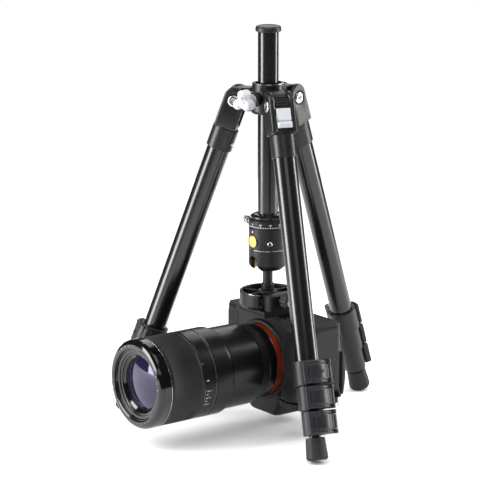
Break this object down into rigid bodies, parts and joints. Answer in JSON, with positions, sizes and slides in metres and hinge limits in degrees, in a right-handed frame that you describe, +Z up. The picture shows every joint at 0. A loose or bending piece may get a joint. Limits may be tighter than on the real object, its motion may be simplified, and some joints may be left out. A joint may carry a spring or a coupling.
{
  "type": "camera on a tabletop tripod",
  "caption": "Travel tripod with folding, flip-lock telescopic legs, its column reversed, and a camera with a long lens hung upside down from the ball head.",
  "frame": {"origin": "middle of the bounding box, on the floor under the feet", "axes": "+Z up along the centre column; the lens points along -Y; +X is the camera's grip side"},
  "size_m": [0.2432, 0.2824, 0.3565],
  "materials": {
    "anodised": "black anodised, satin gloss",
    "cast_black": "black powder coat on a casting",
    "black_plastic": "fine spark-eroded texture",
    "light_plastic": "moulded, satin",
    "bolt_steel": "turned, bright",
    "rubber": "matte",
    "camera_paint": "fine wrinkle paint",
    "grip_skin": "leather-grain rubber",
    "mount_orange": "anodised ring with a bright edge",
    "lens_black": "gloss black",
    "optical_glass": "coated",
    "screen": "gloss black panel in a satin frame"
  },
  "bodies": {
    "spider": {"spider": "cast_black", "column_bush": "black_plastic"},
    "column": {"centre_column": "anodised", "column_cap": "black_plastic", "pan_base": "cast_black"},
    "column_knob": {"column_lock_knob": "light_plastic"},
    "head": {"ball_housing": "cast_black"},
    "pan_knob": {"pan_lock_knob": "bolt_steel"},
    "ball_knob": {"ball_lock_knob": "black_plastic"},
    "ball": {"ball": "bolt_steel"},
    "clamp": {"ball_stem": "cast_black", "clamp_body": "cast_black"},
    "clamp_knob": {"clamp_knob": "black_plastic"},
    "clamp_jaw": {"clamp_jaw": "cast_black"},
    "camera": {"camera_plate": "cast_black", "camera_body": "camera_paint", "top_cover": "camera_paint", "hand_grip": "grip_skin", "mount_ring": "mount_orange", "lens_barrel": "lens_black", "lens_front": "lens_black", "front_element": "optical_glass"},
    "focus": {"focus_ring": "rubber"},
    "shutter": {"shutter_button": "camera_paint"},
    "mode": {"mode_dial": "camera_paint"},
    "screen": {"lcd_panel": "screen"},
    "strap": {"strap_ring": "bolt_steel"},
    "leg_a": {"leg_a_yoke": "cast_black", "leg_a_hinge_bolt": "bolt_steel", "leg_a_section_1": "anodised"},
    "leg_a_tab": {"leg_a_angle_tab": "light_plastic"},
    "leg_a_stage_2": {"leg_a_section_2": "anodised"},
    "leg_a_stage_3": {"leg_a_section_3": "anodised"},
    "leg_a_stage_4": {"leg_a_section_4": "anodised", "leg_a_foot": "rubber"},
    "leg_a_lever_1": {"leg_a_lever_1": "black_plastic"},
    "leg_a_lever_2": {"leg_a_lever_2": "black_plastic"},
    "leg_a_lever_3": {"leg_a_lever_3": "black_plastic"},
    "leg_b": {"leg_b_yoke": "cast_black", "leg_b_hinge_bolt": "bolt_steel", "leg_b_section_1": "anodised"},
    "leg_b_tab": {"leg_b_angle_tab": "light_plastic"},
    "leg_b_stage_2": {"leg_b_section_2": "anodised"},
    "leg_b_stage_3": {"leg_b_section_3": "anodised"},
    "leg_b_stage_4": {"leg_b_section_4": "anodised", "leg_b_foot": "rubber"},
    "leg_b_lever_1": {"leg_b_lever_1": "black_plastic"},
    "leg_b_lever_2": {"leg_b_lever_2": "black_plastic"},
    "leg_b_lever_3": {"leg_b_lever_3": "black_plastic"},
    "leg_c": {"leg_c_yoke": "cast_black", "leg_c_hinge_bolt": "bolt_steel", "leg_c_section_1": "anodised"},
    "leg_c_tab": {"leg_c_angle_tab": "light_plastic"},
    "leg_c_stage_2": {"leg_c_section_2": "anodised"},
    "leg_c_stage_3": {"leg_c_section_3": "anodised"},
    "leg_c_stage_4": {"leg_c_section_4": "anodised", "leg_c_foot": "rubber"},
    "leg_c_lever_1": {"leg_c_lever_1": "black_plastic"},
    "leg_c_lever_2": {"leg_c_lever_2": "black_plastic"},
    "leg_c_lever_3": {"leg_c_lever_3": "black_plastic"}
  },
  "joints": [
    {"name": "column_slide", "type": "slide", "parent": "spider", "child": "column", "axis": [0, 0, 1], "range_m": [-0.006, 0.036]},
    {"name": "column_lock_turn", "type": "hinge", "parent": "spider", "child": "column_knob", "pos_m": [-0.01236, 0.0029, 0.29379], "axis": [0.1925, -0.9813, 0], "range_deg": [-180, 0]},
    {"name": "pan_turn", "type": "hinge", "parent": "column", "child": "head", "pos_m": [-0.01236, 0.0029, 0.17279], "axis": [0, 0, 1], "range_deg": [-9, 40]},
    {"name": "pan_lock_turn", "type": "hinge", "parent": "column", "child": "pan_knob", "pos_m": [-0.01236, 0.0029, 0.18269], "axis": [-0.8829, -0.4695, 0], "range_deg": [-180, 0]},
    {"name": "ball_lock_turn", "type": "hinge", "parent": "head", "child": "ball_knob", "pos_m": [-0.01236, 0.0029, 0.16719], "axis": [0, 1, 0], "range_deg": [-180, 0]},
    {"name": "ball_roll", "type": "hinge", "parent": "head", "child": "ball", "pos_m": [-0.01236, 0.0029, 0.15419], "axis": [0, 1, 0], "range_deg": [-5.5, 5.5]},
    {"name": "ball_tilt", "type": "hinge", "parent": "ball", "child": "clamp", "pos_m": [-0.01236, 0.0029, 0.15419], "axis": [-1, 0, 0], "range_deg": [-6, 54]},
    {"name": "clamp_knob_turn", "type": "hinge", "parent": "clamp_jaw", "child": "clamp_knob", "pos_m": [0.01264, 0.0029, 0.11549], "axis": [1, 0, 0], "range_deg": [-720, 0]},
    {"name": "clamp_jaw_slide", "type": "slide", "parent": "clamp", "child": "clamp_jaw", "axis": [1, 0, 0], "range_m": [0, 0.002]},
    {"name": "plate_slide", "type": "slide", "parent": "clamp", "child": "camera", "axis": [0, 1, 0], "range_m": [-0.008, 0.008]},
    {"name": "focus_turn", "type": "hinge", "parent": "camera", "child": "focus", "pos_m": [-0.01236, -0.1107, 0.05799], "axis": [0, -1, 0], "continuous": true},
    {"name": "shutter_press", "type": "slide", "parent": "camera", "child": "shutter", "axis": [0, 0, 1], "range_m": [0, 0.001], "stiffness_N_per_m": 800},
    {"name": "mode_dial_turn", "type": "hinge", "parent": "camera", "child": "mode", "pos_m": [0.02564, 0.01189, 0.03049], "axis": [0, 0, 1], "continuous": true},
    {"name": "screen_tilt", "type": "hinge", "parent": "camera", "child": "screen", "pos_m": [-0.01236, 0.0325, 0.04249], "axis": [-1, 0, 0], "range_deg": [0, 90]},
    {"name": "strap_ring_swing", "type": "hinge", "parent": "camera", "child": "strap", "pos_m": [0.06284, 0.0232, 0.03809], "axis": [0, 1, 0], "range_deg": [-80, 12]},
    {"name": "leg_a_spread", "type": "hinge", "parent": "spider", "child": "leg_a", "pos_m": [-0.03384, -0.01584, 0.29079], "axis": [-0.6574, 0.7536, 0], "range_deg": [-8, 60]},
    {"name": "leg_a_tab_pull", "type": "slide", "parent": "leg_a", "child": "leg_a_tab", "axis": [-0.7092, -0.6187, 0.3379], "range_m": [0, 0.004], "stiffness_N_per_m": 400},
    {"name": "leg_a_extend_2", "type": "slide", "parent": "leg_a", "child": "leg_a_stage_2", "axis": [-0.2546, -0.2221, -0.9412], "range_m": [0, 0.16]},
    {"name": "leg_a_extend_3", "type": "slide", "parent": "leg_a_stage_2", "child": "leg_a_stage_3", "axis": [-0.2546, -0.2221, -0.9412], "range_m": [0, 0.16]},
    {"name": "leg_a_extend_4", "type": "slide", "parent": "leg_a_stage_3", "child": "leg_a_stage_4", "axis": [-0.2546, -0.2221, -0.9412], "range_m": [0, 0.16]},
    {"name": "leg_a_lever_1_flip", "type": "hinge", "parent": "leg_a", "child": "leg_a_lever_1", "pos_m": [-0.08284, -0.08129, 0.07342], "axis": [0.2546, 0.2221, 0.9412], "range_deg": [0, 110]},
    {"name": "leg_a_lever_2_flip", "type": "hinge", "parent": "leg_a_stage_2", "child": "leg_a_lever_2", "pos_m": [-0.08832, -0.08607, 0.05319], "axis": [0.2546, 0.2221, 0.9412], "range_deg": [0, 110]},
    {"name": "leg_a_lever_3_flip", "type": "hinge", "parent": "leg_a_stage_3", "child": "leg_a_lever_3", "pos_m": [-0.09379, -0.09084, 0.03295], "axis": [0.2546, 0.2221, 0.9412], "range_deg": [0, 110]},
    {"name": "leg_b_spread", "type": "hinge", "parent": "spider", "child": "leg_b", "pos_m": [0.0146, -0.00634, 0.29079], "axis": [-0.3239, -0.9461, 0], "range_deg": [-2.5, 60]},
    {"name": "leg_b_tab_pull", "type": "slide", "parent": "leg_b", "child": "leg_b_tab", "axis": [0.8904, -0.3049, 0.3379], "range_m": [0, 0.004], "stiffness_N_per_m": 400},
    {"name": "leg_b_extend_2", "type": "slide", "parent": "leg_b", "child": "leg_b_stage_2", "axis": [0.3197, -0.1095, -0.9412], "range_m": [0, 0.16]},
    {"name": "leg_b_extend_3", "type": "slide", "parent": "leg_b_stage_2", "child": "leg_b_stage_3", "axis": [0.3197, -0.1095, -0.9412], "range_m": [0, 0.16]},
    {"name": "leg_b_extend_4", "type": "slide", "parent": "leg_b_stage_3", "child": "leg_b_stage_4", "axis": [0.3197, -0.1095, -0.9412], "range_m": [0, 0.16]},
    {"name": "leg_b_lever_1_flip", "type": "hinge", "parent": "leg_b", "child": "leg_b_lever_1", "pos_m": [0.09579, -0.01605, 0.07342], "axis": [-0.3197, 0.1095, 0.9412], "range_deg": [0, 110]},
    {"name": "leg_b_lever_2_flip", "type": "hinge", "parent": "leg_b_stage_2", "child": "leg_b_lever_2", "pos_m": [0.10266, -0.01841, 0.05319], "axis": [-0.3197, 0.1095, 0.9412], "range_deg": [0, 110]},
    {"name": "leg_b_lever_3_flip", "type": "hinge", "parent": "leg_b_stage_3", "child": "leg_b_lever_3", "pos_m": [0.10953, -0.02076, 0.03295], "axis": [-0.3197, 0.1095, 0.9412], "range_deg": [0, 110]},
    {"name": "leg_c_spread", "type": "hinge", "parent": "spider", "child": "leg_c", "pos_m": [-0.01785, 0.03086, 0.29079], "axis": [0.9813, 0.1925, 0], "range_deg": [-11, 60]},
    {"name": "leg_c_tab_pull", "type": "slide", "parent": "leg_c", "child": "leg_c_tab", "axis": [-0.1812, 0.9236, 0.3379], "range_m": [0, 0.004], "stiffness_N_per_m": 400},
    {"name": "leg_c_extend_2", "type": "slide", "parent": "leg_c", "child": "leg_c_stage_2", "axis": [-0.0651, 0.3316, -0.9412], "range_m": [0, 0.16]},
    {"name": "leg_c_extend_3", "type": "slide", "parent": "leg_c_stage_2", "child": "leg_c_stage_3", "axis": [-0.0651, 0.3316, -0.9412], "range_m": [0, 0.16]},
    {"name": "leg_c_extend_4", "type": "slide", "parent": "leg_c_stage_3", "child": "leg_c_stage_4", "axis": [-0.0651, 0.3316, -0.9412], "range_m": [0, 0.16]},
    {"name": "leg_c_lever_1_flip", "type": "hinge", "parent": "leg_c", "child": "leg_c_lever_1", "pos_m": [-0.05003, 0.10603, 0.07342], "axis": [0.0651, -0.3316, 0.9412], "range_deg": [0, 110]},
    {"name": "leg_c_lever_2_flip", "type": "hinge", "parent": "leg_c_stage_2", "child": "leg_c_lever_2", "pos_m": [-0.05142, 0.11316, 0.05319], "axis": [0.0651, -0.3316, 0.9412], "range_deg": [0, 110]},
    {"name": "leg_c_lever_3_flip", "type": "hinge", "parent": "leg_c_stage_3", "child": "leg_c_lever_3", "pos_m": [-0.05282, 0.12029, 0.03295], "axis": [0.0651, -0.3316, 0.9412], "range_deg": [0, 110]}
  ],
  "couplings": [
    {"joint": "clamp_knob_turn", "follows": "clamp_jaw_slide", "rad_per_m": -6283.2}
  ]
}
